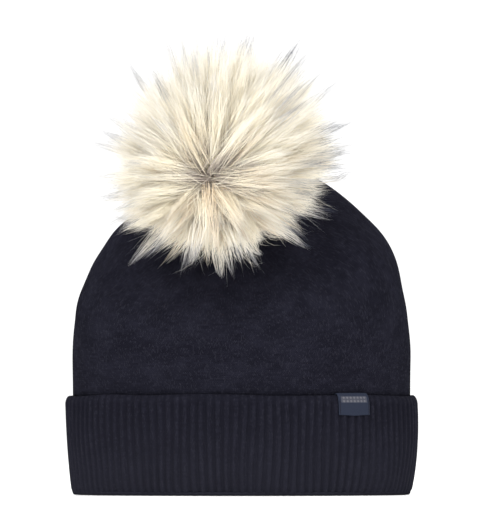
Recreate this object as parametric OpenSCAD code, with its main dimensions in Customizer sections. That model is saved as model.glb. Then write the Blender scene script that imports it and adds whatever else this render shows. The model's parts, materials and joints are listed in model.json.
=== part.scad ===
// Pom pom beanie: a jersey crown, a ribbed band with a turned-up cuff, and a
// fur pom on a snap. Millimetres, +Z up, the wearer's face towards -Y.
// The origin is the centre of the head opening, in the plane of the rim.

/* [Hat] */
// Outside width of the crown where it leaves the cuff
hat_w = 210; // [196:1:224]
// Outside depth of the crown, front to back
hat_d = 156; // [144:1:170]
// Thickness of the jersey knit
jersey_t = 2.8; // [2.2:0.1:3.2]
// Thickness of one ply of the ribbing
rib_t = 3; // [2.6:0.1:3]

/* [Crown] */
// Length of the crown along its bent centre line
crown_rise = 142; // [134:1:150]
// How far the tip sinks below that length as the crown slumps
crown_drop = 26; // [20:1:30]
// How far the tip leans out of the upright
crown_lean = 43; // [38:1:48]
// Direction of the lean, measured from straight ahead to the wearer's right
lean_heading = 11; // [0:1:20]
// Squareness of the crown's shoulders; 2 is an ellipsoid
crown_fullness = 2.8; // [2.5:0.1:3.1]

/* [Cuff] */
// Height of the turned-up cuff
cuff_h = 63; // [58:1:68]
// How much wider the cuff is near its top edge than at the fold
cuff_flare = 4.1; // [3.9:0.1:4.6]

/* [Labels] */
// Width of the woven label along the cuff
label_w = 21.6; // [16:0.2:28]
// Height of the woven label's front leaf
label_h = 15; // [10:0.5:18]
// Place of the woven label around the oval; -90 is the middle of the front
label_angle = -50.5; // [-130:0.5:-50]
// Width of the care label
care_w = 24; // [16:1:30]
// Length of the care label below its seam
care_h = 40; // [25:1:44]

/* [Pom] */
// Radius of the stuffed ball that carries the fur
ball_r = 32; // [30:0.5:33]
// Distance from the crown's tip to the ball's centre
ball_height = 42; // [42:0.5:46]
// Furthest the fur reaches from the ball's centre
fur_reach = 78; // [60:1:82]
// Number of fur tufts over the ball
tuft_count = 170; // [100:10:180]

/* [Snap] */
// Radius of the snap stud's head
stud_r = 3.5; // [3:0.1:3.5]
// Radius of the rivet posts that hold the two halves of the snap
post_r = 1.6; // [1.2:0.1:1.6]

/* [Hidden] */

// Flat segments around each knitted ring, and rows up the crown
around = 72;
outer_rows = 18;
inner_rows = 15;

// The hat's sections are ovals: the depth is less than the width by this
oval_step = (hat_w - hat_d) / 2;
half_w = hat_w / 2;
tip_w = half_w - oval_step / 2;

// Levels of the band: the fold's top, the seam, the hem's foot, the crown's foot
lip_z = 3;
band_z = cuff_h - 6;
hem_z = cuff_h - 5.4;
crown_z = cuff_h - 3;
cuff_full_z = cuff_h - 10;
cuff_foot_w = half_w + 0.3;
ply_gap = 0.5;
top_gap = 1.4;

// The crown's tip: how it is turned, where it is, and the hole it is gathered round
lean_power = 2.6;
drop_power = 2.7;
tip_tilt = atan2(crown_lean * lean_power, crown_rise - crown_drop * drop_power);
tip_pos = spine(1);
tip_hole_r = 14;
tip_r = 13.2;
tip_t = 3;
cord_r = 1.1;
cord_ring_r = 16;
cord_depth = 9.5;

// Snap heights, measured along the pom's axis from the crown's tip
felt_r = 11;
felt_t = 2;
cap_t = 1;
snap_play = 0.2;
stud_flange_r = 7;
stud_h = 5;
stud_neck_z = 2.6;
spring_r = 0.45;
spring_ring_r = stud_r + spring_r + 0.15;
socket_z = 1.5;
socket_h = 5;
socket_r = 7.5;
socket_bore_r = spring_ring_r + spring_r + 0.15;
disc_z = 7.1;
disc_r = 11;
disc_t = 1.5;
cap_r = 6.5;
string_r = 0.8;
string_ring_r = 9.6;
string_z = ball_height - ball_r;
mouth_r = 8;
backing_t = 1.2;

// Tilt of the pom against the crown that its fur leaves room for
full_tilt = 28;
tuft_root_r = 3.6;
tuft_swell = 0.11;
tuft_belly_at = 0.4;
tuft_tip_r = 0.7;
tuft_sides = 5;
golden_angle = 137.508;
bare_angle = 150;

// Label plies and thread
leaf_t = 0.35;
leaf_gap = 0.15;
thread_r = 0.3;

navy = [0.13, 0.13, 0.17];
rib_navy = [0.15, 0.15, 0.19];
label_blue = [0.20, 0.23, 0.32];
satin_white = [0.88, 0.88, 0.86];
felt_grey = [0.35, 0.35, 0.38];
snap_grey = [0.55, 0.55, 0.58];
backing_cream = [0.80, 0.74, 0.64];
fur_cream = [0.91, 0.86, 0.75];

// ---- Curves ----

// A point of the oval whose half-width is w, at angle u and height z
function oval(w, u, z) = [w * cos(u), (w - oval_step) * sin(u), z];

// Centre line of the crown for s from 0 at the cuff to 1 at the tip
function spine(s) = [
    -sin(lean_heading) * crown_lean * pow(s, lean_power),
    -cos(lean_heading) * crown_lean * pow(s, lean_power),
    crown_z + crown_rise * s - crown_drop * pow(s, drop_power)
];
function spine_tilt(s) = atan2(
    crown_lean * lean_power * pow(s, lean_power - 1),
    crown_rise - crown_drop * drop_power * pow(s, drop_power - 1)
);

// v turned by angle t about the level axis across the lean
function leaned(v, t) = let (
    k = [cos(lean_heading), -sin(lean_heading), 0]
) v * cos(t) + cross(k, v) * sin(t) + k * (k * v) * (1 - cos(t));

// A point of the crown: t from 0 at the cuff to 90 at the tip, u around,
// inset below the outer surface. The oval turns into a circle near the tip.
function crown_point(t, u, inset) = let (
    s = pow(sin(t), 2 / crown_fullness),
    r = pow(cos(t), 2 / crown_fullness),
    round_off = pow(s, 8),
    w = half_w + (tip_w - half_w) * round_off - inset,
    d = half_w - oval_step + (tip_w - half_w + oval_step) * round_off - inset,
    flat = [w * r * cos(u), d * r * sin(u), -inset * s]
) spine(s) + leaned(flat, spine_tilt(s));

tip_t_angle = acos(pow(tip_hole_r / tip_w, crown_fullness / 2));

// Outside half-widths of the cuff and of the ply inside it, by height
function cuff_out(z) = cuff_foot_w + cuff_flare * (1 - pow(1 - z / cuff_full_z, 2));
function band_out(z) =
    cuff_out(z) - rib_t - ply_gap - (top_gap - ply_gap) * z / band_z;

// Furthest the fur may reach at angle a from the pom's axis, so that it stays
// off the crown when the pom is tilted as far as it goes
function reach_at(a) = a + full_tilt < 95 ? fur_reach
    : min(fur_reach, ball_height * cos(full_tilt) / -cos(min(180, a + full_tilt)));

// ---- Building blocks ----

// A skin through rings of equal point counts; a closed skin joins its ends
module skin(rings, closed = false) {
    m = len(rings[0]);
    n = len(rings);
    sides = [
        for (i = [0:closed ? n - 1 : n - 2], j = [0:m - 1])
            [i * m + j, i * m + (j + 1) % m, (i + 1) % n * m + (j + 1) % m, (i + 1) % n * m + j]
    ];
    caps = closed ? [] : [
        [for (j = [m - 1:-1:0]) j],
        [for (j = [0:m - 1]) (n - 1) * m + j]
    ];
    polyhedron([for (ring = rings) each ring], concat(sides, caps), convexity = 8);
}

// A ring of the hat with the given profile of [half-width, height] points
module oval_ring(profile) {
    skin([for (i = [0:around - 1]) [for (p = profile) oval(p[0], i * 360 / around, p[1])]], true);
}

// Places children on the crown's tip, with their +Z along the pom's axis
module at_tip(up = 0) {
    translate(tip_pos) rotate([0, tip_tilt, -90 - lean_heading]) translate([0, 0, up]) children();
}

// A ring of round section lying flat
module round_ring(ring_r, r) {
    rotate_extrude($fn = 64) translate([ring_r, 0]) circle(r, $fn = 24);
}

// ---- Hat ----

module crown_shell() {
    color(navy) skin([
        for (i = [0:around - 1]) let (u = i * 360 / around) [
            for (j = [0:outer_rows]) crown_point(tip_t_angle * j / outer_rows, u, 0),
            for (j = [inner_rows:-1:0]) crown_point(tip_t_angle * j / inner_rows, u, jersey_t)
        ]
    ], true);
}

// The inner ply of the ribbing, down to the fold that the hat stands on
module rib_band() {
    fold_in = band_out(0) - rib_t;
    levels = [for (i = [0:4]) lip_z + (band_z - lip_z) * i / 4];
    color(rib_navy) oval_ring([
        [fold_in + 1.6, 0],
        [cuff_out(0) - 1.6, 0],
        [cuff_out(0) - 0.4, 0.8],
        [cuff_out(lip_z), lip_z],
        [cuff_out(lip_z) - rib_t, lip_z],
        [band_out(lip_z), lip_z - 0.4],
        for (z = levels) if (z > lip_z) [band_out(z), z],
        for (i = [4:-1:0]) [band_out(levels[i]) - rib_t, levels[i]],
        [fold_in + 0.4, 0.9]
    ]);
}

// The outer ply, turned up outside the inner one
module cuff_ply() {
    foot = lip_z + 0.3;
    head = hem_z - 0.4;
    levels = [for (i = [0:4]) foot + (head - foot) * i / 4];
    color(rib_navy) oval_ring([
        for (z = levels) [cuff_out(z), z],
        for (i = [4:-1:0]) [cuff_out(levels[i]) - rib_t, levels[i]]
    ]);
}

// The bound-off top edge of the cuff
module cuff_hem() {
    w = cuff_out(hem_z);
    color(rib_navy) oval_ring([
        [w - rib_t, hem_z],
        [w, hem_z],
        [w - 0.5, cuff_h - 3],
        [w - 1.3, cuff_h - 0.9],
        [w - 2, cuff_h],
        [w - 2.5, cuff_h],
        [w - rib_t, cuff_h - 0.7]
    ]);
}

// The yarn that links the ribbing to the crown
module linking_yarn() {
    w = half_w - jersey_t / 2;
    z = (band_z + crown_z) / 2;
    color(navy) oval_ring([for (i = [0:5]) [w + 1.1 * cos(i * 60), z + 1.1 * sin(i * 60)]]);
}

// The seam allowance down the inside of the crown's back
module back_seam() {
    last = tip_t_angle - 6;
    color(navy) skin([
        for (j = [0:inner_rows]) let (t = 1 + (last - 1) * j / inner_rows, in = jersey_t + 0.4) [
            crown_point(t, 91.7, in),
            crown_point(t, 88.3, in),
            crown_point(t, 88.6, in + 1.2),
            crown_point(t, 91.4, in + 1.2)
        ]
    ]);
}

// The cord that draws the crown together under its tip
module gather_cord() {
    color(navy) at_tip(-cord_depth) round_ring(cord_ring_r, cord_r);
}

// ---- Woven label, folded over the cuff's edge ----

label_spread = label_w / norm(oval(half_w, label_angle + 90, 0)) * 90 / PI;
label_foot = cuff_h - label_h + 1.1;

module woven_label() {
    mid = cuff_h - 5;
    edge_w = cuff_out(hem_z);
    back_w = edge_w - rib_t - leaf_gap;
    // The label's two faces, from the front leaf's foot over the edge to the back leaf's
    face = [
        [cuff_out(label_foot) + leaf_gap + leaf_t, label_foot],
        [cuff_out(mid) + leaf_gap + leaf_t, mid],
        [edge_w + 0.2, cuff_h - 2],
        [edge_w - 0.6, cuff_h + 0.3],
        [edge_w - 1.9, cuff_h + 1.1],
        [edge_w - 2.7, cuff_h + 1.1],
        [back_w - leaf_t, cuff_h],
        [back_w - leaf_t, label_foot + 1.5]
    ];
    back = [
        [cuff_out(label_foot) + leaf_gap, label_foot],
        [cuff_out(mid) + leaf_gap, mid],
        [edge_w - 0.2, cuff_h - 2],
        [edge_w - 0.9, cuff_h - 0.1],
        [edge_w - 2, cuff_h + 0.6],
        [edge_w - 2.5, cuff_h + 0.6],
        [back_w, cuff_h - 0.3],
        [back_w, label_foot + 1.5]
    ];
    turns = [for (i = [-2:2]) label_angle + label_spread * i / 2];
    color(label_blue) skin([
        for (k = [0:len(face) - 1]) [
            for (i = [4:-1:0]) oval(face[k][0], turns[i], face[k][1]),
            for (i = [0:4]) oval(back[k][0], turns[i], back[k][1])
        ]
    ]);
}

// Thread runs down both ends of the label's front leaf
module label_stitches() {
    pitch = 2.2;
    for (side = [-1, 1], i = [0:floor((label_h - 7) / pitch)]) {
        z = label_foot + 0.9 + i * pitch;
        w = cuff_out(z) + leaf_gap + leaf_t + thread_r + 0.15;
        color(rib_navy) translate(oval(w, label_angle + side * (label_spread - 0.7), z))
            cylinder(h = 1.4, r = thread_r, $fn = 16);
    }
}

// ---- Care label, a satin loop hanging inside the back ----

care_y = band_out(band_z) - rib_t - oval_step - 3.2;
care_top = band_z - 2;

module care_label() {
    ply = 0.3;
    depth = 1.3;
    color(satin_white) translate([-care_w / 2, care_y, care_top]) rotate([90, 0, 90])
        linear_extrude(care_w) polygon([
            [0, 0],
            [-ply, 0],
            [-ply, 1 - care_h],
            [-2 * ply, ply - care_h],
            [2 * ply - depth, ply - care_h],
            [ply - depth, 1 - care_h],
            [ply - depth, 0],
            [-depth, 0],
            [-depth, 1 - care_h],
            [0.4 - depth, -care_h],
            [-0.4, -care_h],
            [0, 1 - care_h]
        ]);
}

module care_label_stitches() {
    pitch = 3.4;
    count = floor((care_w - 2) / pitch);
    color(satin_white) for (i = [0:count - 1])
        translate([(i - count / 2 + 0.15) * pitch, care_y - 0.65, care_top + thread_r + 0.8])
            rotate([0, 90, 0]) cylinder(h = 2.4, r = thread_r, $fn = 16);
}

// ---- Crown tip and snap ----

module crown_tip() {
    color(navy) at_tip(-tip_t) difference() {
        cylinder(h = tip_t, r = tip_r, $fn = 64);
        translate([0, 0, -1]) cylinder(h = tip_t + 2, r = post_r + 0.15, $fn = 32);
    }
}

module felt_washer() {
    color(felt_grey) at_tip(-tip_t - snap_play - felt_t) difference() {
        cylinder(h = felt_t, r = felt_r, $fn = 64);
        translate([0, 0, -1]) cylinder(h = felt_t + 2, r = post_r + 0.15, $fn = 32);
    }
}

// The inside half of the stud: a cap with the rivet post
module stud_cap() {
    foot = -tip_t - felt_t - cap_t - 2 * snap_play;
    color(snap_grey) at_tip(foot) {
        cylinder(h = cap_t, r = stud_flange_r, $fn = 64);
        cylinder(h = stud_neck_z - foot, r = post_r, $fn = 32);
    }
}

// The outside half of the stud: a flange, a neck and a rounded head
module snap_stud() {
    color(snap_grey) at_tip(snap_play) rotate_extrude($fn = 64) polygon([
        [post_r + 0.05, 0],
        [stud_flange_r, 0],
        [stud_flange_r, 0.7],
        [stud_r - 0.5, 1],
        [stud_r - 0.5, stud_neck_z],
        [stud_r, stud_neck_z + 0.6],
        [stud_r, stud_h - 1],
        [stud_r - 0.8, stud_h],
        [0, stud_h],
        [0, stud_neck_z],
        [post_r + 0.05, stud_neck_z]
    ]);
}

// The sprung ring that grips the stud, shown spread to the head's size
module snap_spring() {
    color(snap_grey) at_tip(stud_neck_z) difference() {
        round_ring(spring_ring_r, spring_r);
        translate([0, -0.6, -1]) cube([10, 1.2, 2]);
    }
}

// ---- Pom ----

module snap_socket() {
    color(snap_grey) at_tip(socket_z) difference() {
        union() {
            cylinder(h = socket_h, r = socket_r - 1.2, $fn = 64);
            translate([0, 0, socket_h - 1]) cylinder(h = 1, r = socket_r, $fn = 64);
        }
        translate([0, 0, -1]) cylinder(h = socket_h, r = socket_bore_r, $fn = 48);
        cylinder(h = socket_h + 1, r = post_r + 0.05, $fn = 32);
    }
}

module base_disc() {
    color(felt_grey) at_tip(disc_z) difference() {
        cylinder(h = disc_t, r = disc_r, $fn = 64);
        translate([0, 0, -1]) cylinder(h = disc_t + 2, r = post_r + 0.15, $fn = 32);
    }
}

// The inside half of the socket: a cap with the rivet post
module socket_cap() {
    head = disc_z + disc_t + snap_play;
    foot = socket_z + socket_h - 0.6;
    color(snap_grey) at_tip() {
        translate([0, 0, head]) cylinder(h = cap_t, r = cap_r, $fn = 64);
        translate([0, 0, foot]) cylinder(h = head + cap_t - foot, r = post_r, $fn = 32);
    }
}

// The string that closes the fur's backing over the stuffing
module drawstring() {
    color(backing_cream) at_tip(string_z) round_ring(string_ring_r, string_r);
}

module fur_backing() {
    color(backing_cream) at_tip(ball_height) difference() {
        sphere(ball_r, $fn = 96);
        sphere(ball_r - backing_t, $fn = 96);
        translate([0, 0, -ball_r - 1]) cylinder(h = ball_r / 2, r = mouth_r, $fn = 48);
    }
}

module pom_stuffing() {
    color(satin_white) at_tip(ball_height) sphere(ball_r - backing_t - 0.8, $fn = 96);
}

// One spindle of fur standing on the ball
module fur_tuft(reach) {
    root = ball_r + 0.5;
    rise = (reach - root) * tuft_belly_at;
    belly = [root + rise, tuft_root_r + rise * tuft_swell];
    skin([
        for (level = [[root, tuft_root_r], belly, [reach, tuft_tip_r]])
            [for (i = [0:tuft_sides - 1]) let (u = -i * 360 / tuft_sides)
                [level[1] * cos(u), level[1] * sin(u), level[0]]]
    ]);
}

// The pile: tufts spread evenly over the ball, away from its mouth
module fur_pile() {
    color(fur_cream) at_tip(ball_height) for (i = [0:tuft_count - 1]) {
        polar = acos(1 - 2 * (i + 0.5) / tuft_count);
        longest = 1 - 0.04 * (1 + sin(i * 77));
        if (polar < bare_angle)
            rotate([0, polar, i * golden_angle]) fur_tuft(reach_at(polar) * longest);
    }
}

crown_shell();
rib_band();
cuff_ply();
cuff_hem();
linking_yarn();
back_seam();
gather_cord();
woven_label();
label_stitches();
care_label();
care_label_stitches();
crown_tip();
felt_washer();
stud_cap();
snap_stud();
snap_spring();
snap_socket();
base_disc();
socket_cap();
drawstring();
fur_backing();
pom_stuffing();
fur_pile();
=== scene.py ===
"""Looks of the pom pom beanie: knitted crown and cuff, woven label, long fur and the snap inside.

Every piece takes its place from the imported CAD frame. Lengths are metres.
"""

import json
import math
from functools import partialmethod

import bpy
import numpy as np
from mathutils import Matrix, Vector

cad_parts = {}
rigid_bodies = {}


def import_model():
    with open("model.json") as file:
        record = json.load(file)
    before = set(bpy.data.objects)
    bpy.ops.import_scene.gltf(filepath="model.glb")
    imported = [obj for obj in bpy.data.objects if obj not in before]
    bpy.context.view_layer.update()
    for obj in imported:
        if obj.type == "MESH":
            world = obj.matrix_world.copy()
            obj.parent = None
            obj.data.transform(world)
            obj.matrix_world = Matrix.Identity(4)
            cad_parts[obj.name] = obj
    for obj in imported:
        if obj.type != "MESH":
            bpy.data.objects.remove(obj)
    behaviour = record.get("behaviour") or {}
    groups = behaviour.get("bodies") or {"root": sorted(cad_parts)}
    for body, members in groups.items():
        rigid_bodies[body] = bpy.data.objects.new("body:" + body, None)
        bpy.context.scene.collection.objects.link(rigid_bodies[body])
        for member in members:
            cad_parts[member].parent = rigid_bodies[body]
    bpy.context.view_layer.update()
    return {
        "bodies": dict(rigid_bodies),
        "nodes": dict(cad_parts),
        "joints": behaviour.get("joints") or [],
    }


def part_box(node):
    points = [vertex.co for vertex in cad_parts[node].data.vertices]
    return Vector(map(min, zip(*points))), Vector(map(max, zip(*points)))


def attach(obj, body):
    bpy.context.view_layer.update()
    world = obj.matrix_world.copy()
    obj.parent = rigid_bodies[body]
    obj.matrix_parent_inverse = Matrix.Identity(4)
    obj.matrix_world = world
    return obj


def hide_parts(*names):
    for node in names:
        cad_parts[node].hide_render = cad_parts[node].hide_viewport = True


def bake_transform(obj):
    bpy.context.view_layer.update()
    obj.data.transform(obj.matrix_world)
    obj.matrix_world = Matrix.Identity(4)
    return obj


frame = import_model()

MM = 0.001
TAU = 2 * math.pi

# ---- places from the frame

joints = {joint["name"]: joint for joint in frame["joints"]}
crown_low, crown_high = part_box("crown_shell")
hem_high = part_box("cuff_hem")[1]
ball_low, ball_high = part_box("fur_backing")
care_low, care_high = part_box("care_label")

BAND_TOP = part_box("rib_band")[1].z
HALF_W = crown_high.x
OVAL_STEP = hem_high.x - hem_high.y
CUFF_H = hem_high.z
TIP = np.array(joints["crown_nod"]["pos_m"])
POM_AXIS = np.array(joints["pom_spin"]["axis"])
BALL = np.array((ball_low + ball_high) / 2)
BALL_R = (ball_high.z - ball_low.z) / 2

# The crown's bent centre line, as in the CAD part
CROWN_Z = crown_low.z
CROWN_DROP = 26 * MM
CROWN_RISE = TIP[2] - CROWN_Z + CROWN_DROP
CROWN_LEAN = math.hypot(TIP[0], TIP[1])
HEADING = math.atan2(-TIP[0], -TIP[1])
LEAN_POWER = 2.6
DROP_POWER = 2.7
FULLNESS = 2.8
TIP_W = HALF_W - OVAL_STEP / 2
TIP_HOLE_R = 14 * MM
JERSEY_T = 2.4 * MM

# The cuff's flare, as in the CAD part
RIB_T = 3 * MM
CUFF_FOOT_W = HALF_W + 0.3 * MM
CUFF_FLARE = hem_high.x - CUFF_FOOT_W
CUFF_FULL_Z = CUFF_H - 10 * MM

# The knit's gauge: wales around the hat, wales in one rib, and a course's height
RIBS = 112
WALES_PER_RIB = 4
WALES = 428
COURSE = 1.1 * MM
# Where a rib's ridge lies in its width
RIDGE = 0.29


# ---- small mathematics


def unit(v):
    """v with its last axis scaled to length one."""
    return v / np.maximum(np.linalg.norm(v, axis=-1, keepdims=True), 1e-12)


def smooth(x):
    """Smoothstep of x held between 0 and 1."""
    x = np.clip(x, 0, 1)
    return x * x * (3 - 2 * x)


def waves(points, seed, length, count=10):
    """A soft random field of about unit height over points, with waves near the given length."""
    random = np.random.default_rng(seed)
    ways = unit(random.normal(size=(count, 3))) * TAU / (length * random.uniform(0.7, 1.6, (count, 1)))
    starts = random.uniform(0, TAU, count)
    return np.cos(points @ ways.T + starts).sum(-1) * math.sqrt(2 / count)


def frame_of(axis):
    """Two unit vectors square to axis and to each other."""
    side = unit(np.cross(axis, (0.0, 0.0, 1.0) if abs(axis[2]) < 0.9 else (1.0, 0.0, 0.0)))
    return side, np.cross(axis, side)


def even_turns(count, w):
    """Angles around the oval of half-width w, at even steps along it, from the middle of the back."""
    turns = np.linspace(0, TAU, 4001) + TAU / 4
    steps = np.hypot(w * np.sin(turns), (w - OVAL_STEP) * np.cos(turns))
    run = np.concatenate([[0], np.cumsum((steps[1:] + steps[:-1]) / 2)])
    return np.interp(np.arange(count) / count * run[-1], run, turns)


def oval(w, turn, z):
    """Points of the hat's oval, for half-widths w, angles and heights of one shape."""
    w, turn, z = np.broadcast_arrays(w, turn, z)
    return np.stack([w * np.cos(turn), (w - OVAL_STEP) * np.sin(turn), z], -1)


def crown_point(t, turn, inset):
    """Points of the crown: t from 0 at the cuff to a quarter turn at the tip."""
    t, turn, inset = np.broadcast_arrays(t, turn, inset)
    s = np.sin(t) ** (2 / FULLNESS)
    r = np.cos(t) ** (2 / FULLNESS)
    round_off = s**8
    w = HALF_W + (TIP_W - HALF_W) * round_off - inset
    d = HALF_W - OVAL_STEP + (TIP_W - HALF_W + OVAL_STEP) * round_off - inset
    flat = np.stack([w * r * np.cos(turn), d * r * np.sin(turn), -inset * s], -1)
    lean = CROWN_LEAN * s**LEAN_POWER
    rise = CROWN_Z + CROWN_RISE * s - CROWN_DROP * s**DROP_POWER
    centre = np.stack([-math.sin(HEADING) * lean, -math.cos(HEADING) * lean, rise], -1)
    tilt = np.arctan2(
        CROWN_LEAN * LEAN_POWER * s ** (LEAN_POWER - 1),
        CROWN_RISE - CROWN_DROP * DROP_POWER * s ** (DROP_POWER - 1),
    )[..., None]
    k = np.array([math.cos(HEADING), -math.sin(HEADING), 0.0])
    turned = flat * np.cos(tilt) + np.cross(k, flat) * np.sin(tilt)
    return centre + turned + k * (flat @ k)[..., None] * (1 - np.cos(tilt))


def flared(z):
    """Half-width of the cuff at height z by its flare alone."""
    return CUFF_FOOT_W + CUFF_FLARE * (1 - (1 - np.minimum(z / CUFF_FULL_Z, 1)) ** 2)


def cuff_out(z, turn=math.pi / 2):
    """Half-width of the cuff's outside at height z; the yarn's bulk rounds it out at mid-height."""
    bulk = np.sin(np.clip(z / (CUFF_H * 1.06), 0, 1) * math.pi) ** 0.8 * (0.9 + 0.6 * np.cos(turn))
    return flared(z) + bulk * MM


def band_out(z):
    """Half-width of the outside of the ply inside the cuff."""
    return flared(z) - RIB_T - (0.5 + 0.9 * z / BAND_TOP) * MM


def runs(points):
    """Distance from the first of a row of points to each."""
    steps = np.linalg.norm(np.diff(points, axis=0), axis=1)
    return np.concatenate([[0], np.cumsum(steps)])


def spokes(angle):
    """Unit vectors square to the pom's axis, by angle round it."""
    side, up = frame_of(POM_AXIS)
    return side * np.cos(angle)[..., None] + up * np.sin(angle)[..., None]


def course_numbers(line, thickness):
    """Courses of knit counted along a line of points, and then once through the thickness."""
    courses = runs(line) / COURSE
    return np.append(courses, courses[-1] + thickness / COURSE)


def round_line(radius, centre_h, angles):
    """Radius and height rows of a circle's arc, by its angle from the pom's axis."""
    return [(radius * math.sin(a), centre_h + radius * math.cos(a)) for a in angles]


# ---- meshes


def new_piece(name, points, faces, material, layers=()):
    """A mesh object from points, a list of face arrays and (layer name, per-corner UVs) pairs."""
    mesh = bpy.data.meshes.new(name)
    points = np.asarray(points, np.float32).reshape(-1, 3)
    corners = np.concatenate([f.ravel() for f in faces]).astype(np.int32)
    sizes = np.concatenate([np.full(len(f), f.shape[1]) for f in faces]).astype(np.int32)
    starts = np.concatenate([[0], np.cumsum(sizes)[:-1]]).astype(np.int32)
    mesh.vertices.add(len(points))
    mesh.vertices.foreach_set("co", points.ravel())
    mesh.loops.add(len(corners))
    mesh.loops.foreach_set("vertex_index", corners)
    mesh.polygons.add(len(sizes))
    mesh.polygons.foreach_set("loop_start", starts)
    for layer_name, uv in layers:
        layer = mesh.uv_layers.new(name=layer_name)
        layer.data.foreach_set("uv", np.asarray(uv, np.float32).ravel())
    mesh.update(calc_edges=True)
    mesh.polygons.foreach_set("use_smooth", np.ones(len(sizes), bool))
    mesh.materials.append(material)
    piece = bpy.data.objects.new(name, mesh)
    bpy.context.scene.collection.objects.link(piece)
    return piece


def stand_in(piece, slot, *cad_nodes, rides=None):
    """The piece takes the CAD nodes' place; slot is not used. A bent piece rides none."""
    if rides:
        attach(piece, rides)
    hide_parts(*cad_nodes)


def grid_corners(rows, columns, wrap_rows, wrap_columns):
    """Quads over a grid of points, and each corner's row and column before wrapping."""
    i, j = np.meshgrid(
        np.arange(rows if wrap_rows else rows - 1),
        np.arange(columns if wrap_columns else columns - 1),
        indexing="ij",
    )
    row = np.stack([i, i + 1, i + 1, i], -1).reshape(-1, 4)
    column = np.stack([j, j, j + 1, j + 1], -1).reshape(-1, 4)
    return (row % rows) * columns + column % columns, row, column


def shell(name, points, material, knit=None):
    """A closed skin of revolution: points[around, along the profile], both closed on themselves.
    knit is (wales around, course number at each profile point and after the last)."""
    rows, columns = points.shape[:2]
    quads, row, column = grid_corners(rows, columns, True, True)
    layers = [("OFBake", np.stack([row / rows, column / columns], -1))]
    if knit is not None:
        wales, courses = knit
        layers.append(("knit", np.stack([row * wales / rows, courses[column]], -1)))
    return new_piece(name, points, [quads], material, layers)


def tube(name, path, radius, material, sides=8, closed=True, plies=2, twist=None, bite=0.22):
    """A twisted yarn along path: its section is plies round lobes that turn about the path."""
    path = np.asarray(path)
    count = len(path)
    ahead = np.roll(path, -1, 0) - np.roll(path, 1, 0)
    if not closed:
        ahead[0], ahead[-1] = path[1] - path[0], path[-1] - path[-2]
    ahead = unit(ahead)
    side = np.zeros_like(path)
    side[0] = frame_of(ahead[0])[0]
    for i in range(1, count):
        side[i] = unit(side[i - 1] - ahead[i] * (side[i - 1] @ ahead[i]))
    up = np.cross(ahead, side)
    length = np.linalg.norm(np.diff(path, axis=0), axis=1).sum()
    turns = twist if twist is not None else round(length / (radius * 9))
    spin = np.arange(count)[:, None] / count * turns * TAU
    around = np.arange(sides)[None] / sides * TAU
    r = radius * (1 - bite * (0.5 - 0.5 * np.cos(plies * (around - spin))))
    if closed:
        slip = math.atan2(side[-1] @ up[0], side[-1] @ side[0])
        around = around - slip * np.arange(count)[:, None] / count
    ring = side[:, None] * np.cos(around)[..., None] + up[:, None] * np.sin(around)[..., None]
    points = path[:, None] + ring * r[..., None]
    quads, row, column = grid_corners(count, sides, closed, True)
    uv = np.stack([column / sides, row / (count if closed else count - 1)], -1).reshape(-1, 2)
    faces = [quads]
    if not closed:
        ring = np.arange(sides)
        faces.append(np.array([ring[::-1], (count - 1) * sides + ring]))
        uv = np.concatenate([uv, np.full((2 * sides, 2), 0.5)])
    return new_piece(name, points, faces, material, [("OFBake", uv)])


def joined(name, pieces):
    """One object from several of one material."""
    bpy.ops.object.select_all(action="DESELECT")
    for piece in pieces:
        piece.select_set(True)
    bpy.context.view_layer.objects.active = pieces[0]
    bpy.ops.object.join()
    pieces[0].name = pieces[0].data.name = name
    return pieces[0]


def grid_normals(points):
    """Outward unit normals of a grid that is closed along its rows' axis."""
    along = np.roll(points, -1, 0) - np.roll(points, 1, 0)
    across = np.gradient(points, axis=1)
    return unit(np.cross(along, across))


# ---- materials


class Wire:
    """A node's output. Arithmetic on it adds math nodes."""

    def __init__(self, paint, socket):
        self.paint, self.socket = paint, socket

    def then(self, operation, *others):
        return self.paint.math(operation, self, *others)

    __add__ = partialmethod(then, "ADD")
    __sub__ = partialmethod(then, "SUBTRACT")
    __mul__ = partialmethod(then, "MULTIPLY")
    __truediv__ = partialmethod(then, "DIVIDE")
    __abs__ = partialmethod(then, "ABSOLUTE")
    floor = partialmethod(then, "FLOOR")
    fract = partialmethod(then, "FRACT")
    sine = partialmethod(then, "SINE")


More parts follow.
